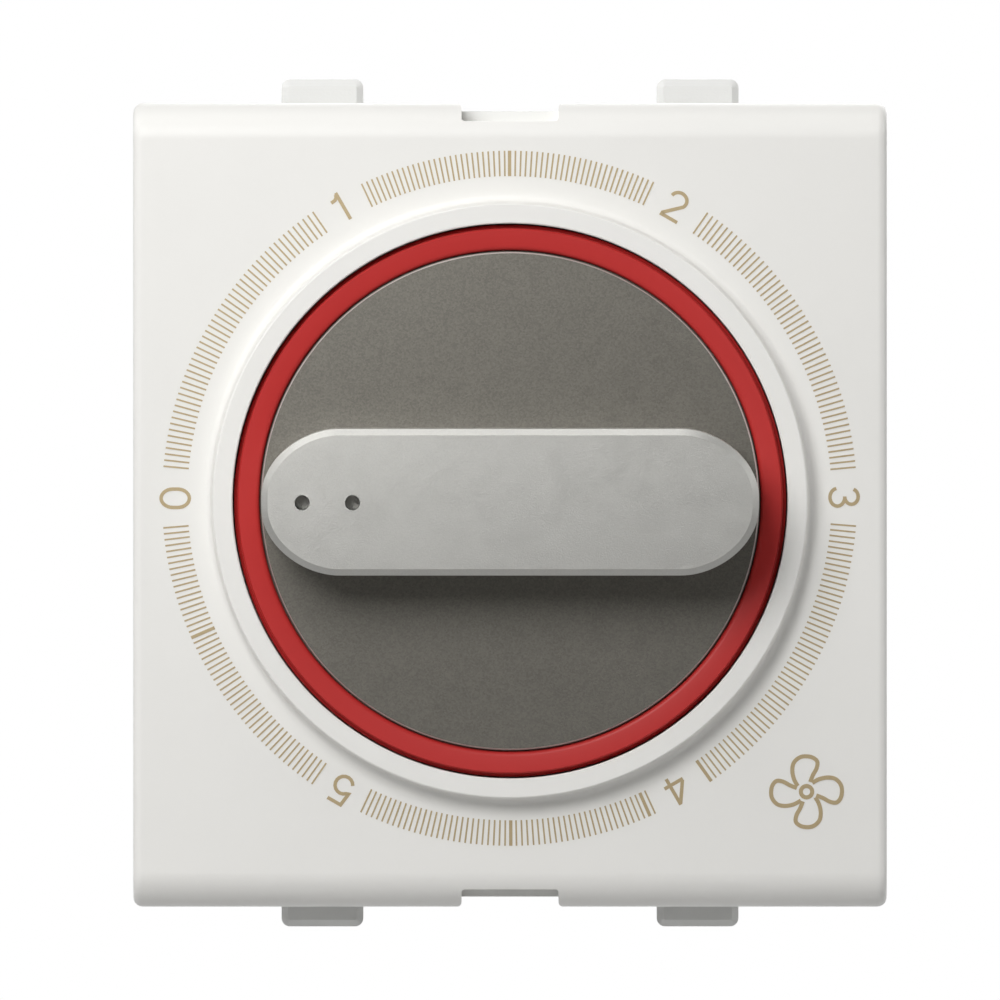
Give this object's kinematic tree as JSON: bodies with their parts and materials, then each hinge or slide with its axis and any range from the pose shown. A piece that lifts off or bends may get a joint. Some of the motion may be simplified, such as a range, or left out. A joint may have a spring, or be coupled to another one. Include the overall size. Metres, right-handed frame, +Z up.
{
  "type": "fan speed control switch",
  "caption": "Rotary fan speed switch module with a round knob in a collared square front plate, snap-in housing, detent, board and screw clamps behind.",
  "frame": {"origin": "middle of the module in the seat plane, where the back of the housing flange rests on the mounting frame", "axes": "+Y to the back along the knob's axis and into the wall, +Z up, +X to the right seen from the front"},
  "size_m": [0.045, 0.0446, 0.0508],
  "materials": {
    "white_cover": "satin warm white moulding",
    "white_housing": "matt white moulding",
    "red_ring": "satin red moulding",
    "dark_metallic": "dark grey metallic lacquer",
    "silver_metallic": "silver metallic lacquer",
    "black_moulding": "matt black moulding",
    "zinc_steel": "bright zinc plate",
    "spring_steel": "rolled spring steel",
    "brass": "stamped brass",
    "phosphor_bronze": "rolled bronze strip",
    "board": "pressed paper laminate",
    "capacitor_case": "yellow moulded case",
    "resistor_body": "lacquered ceramic"
  },
  "bodies": {
    "housing_body": {"housing": "white_housing", "front_plate": "white_cover", "rear_cover": "white_housing", "detent_spring": "spring_steel", "circuit_board": "board", "common_ring": "brass", "capacitor_large": "capacitor_case", "capacitor_small": "capacitor_case", "resistor_left": "resistor_body", "resistor_right": "resistor_body", "fixed_contact_0": "brass", "fixed_contact_1": "brass", "fixed_contact_2": "brass", "fixed_contact_3": "brass", "fixed_contact_4": "brass", "fixed_contact_5": "brass", "line_terminal": "brass", "load_terminal": "brass", "line_strip": "brass", "load_strip": "brass", "cover_screw_top_left": "zinc_steel", "cover_screw_top_right": "zinc_steel", "cover_screw_bottom_left": "zinc_steel", "cover_screw_bottom_right": "zinc_steel"},
    "knob": {"knob_disc": "dark_metallic", "knob_ring": "red_ring", "grip_bar": "silver_metallic", "knob_clip": "spring_steel", "rotor_shaft": "zinc_steel", "detent_wheel": "black_moulding", "switch_rotor": "black_moulding", "wiper": "phosphor_bronze", "shaft_circlip": "spring_steel"},
    "line_clamp": {"line_pressure_plate": "zinc_steel"},
    "line_clamp_screw": {"line_screw": "zinc_steel"},
    "load_clamp": {"load_pressure_plate": "zinc_steel"},
    "load_clamp_screw": {"load_screw": "zinc_steel"}
  },
  "joints": [
    {"name": "knob_turn", "type": "hinge", "parent": "housing_body", "child": "knob", "pos_m": [0, 0, 0.00029], "axis": [0, 1, 0], "continuous": true, "deforming": ["detent_spring"]},
    {"name": "line_clamp_slide", "type": "slide", "parent": "housing_body", "child": "line_clamp", "axis": [0, -1, 0], "range_m": [0, 0.0024]},
    {"name": "line_screw_turn", "type": "hinge", "parent": "line_clamp", "child": "line_clamp_screw", "pos_m": [-0.01125, 0.0171, -0.01655], "axis": [0, -1, 0], "range_deg": [0, 1440]},
    {"name": "load_clamp_slide", "type": "slide", "parent": "housing_body", "child": "load_clamp", "axis": [0, -1, 0], "range_m": [0, 0.0024]},
    {"name": "load_screw_turn", "type": "hinge", "parent": "load_clamp", "child": "load_clamp_screw", "pos_m": [0.01125, 0.0171, -0.01655], "axis": [0, -1, 0], "range_deg": [0, 1440]}
  ],
  "couplings": [
    {"joint": "line_screw_turn", "follows": "line_clamp_slide", "rad_per_m": 10472},
    {"joint": "load_screw_turn", "follows": "load_clamp_slide", "rad_per_m": 10472}
  ]
}
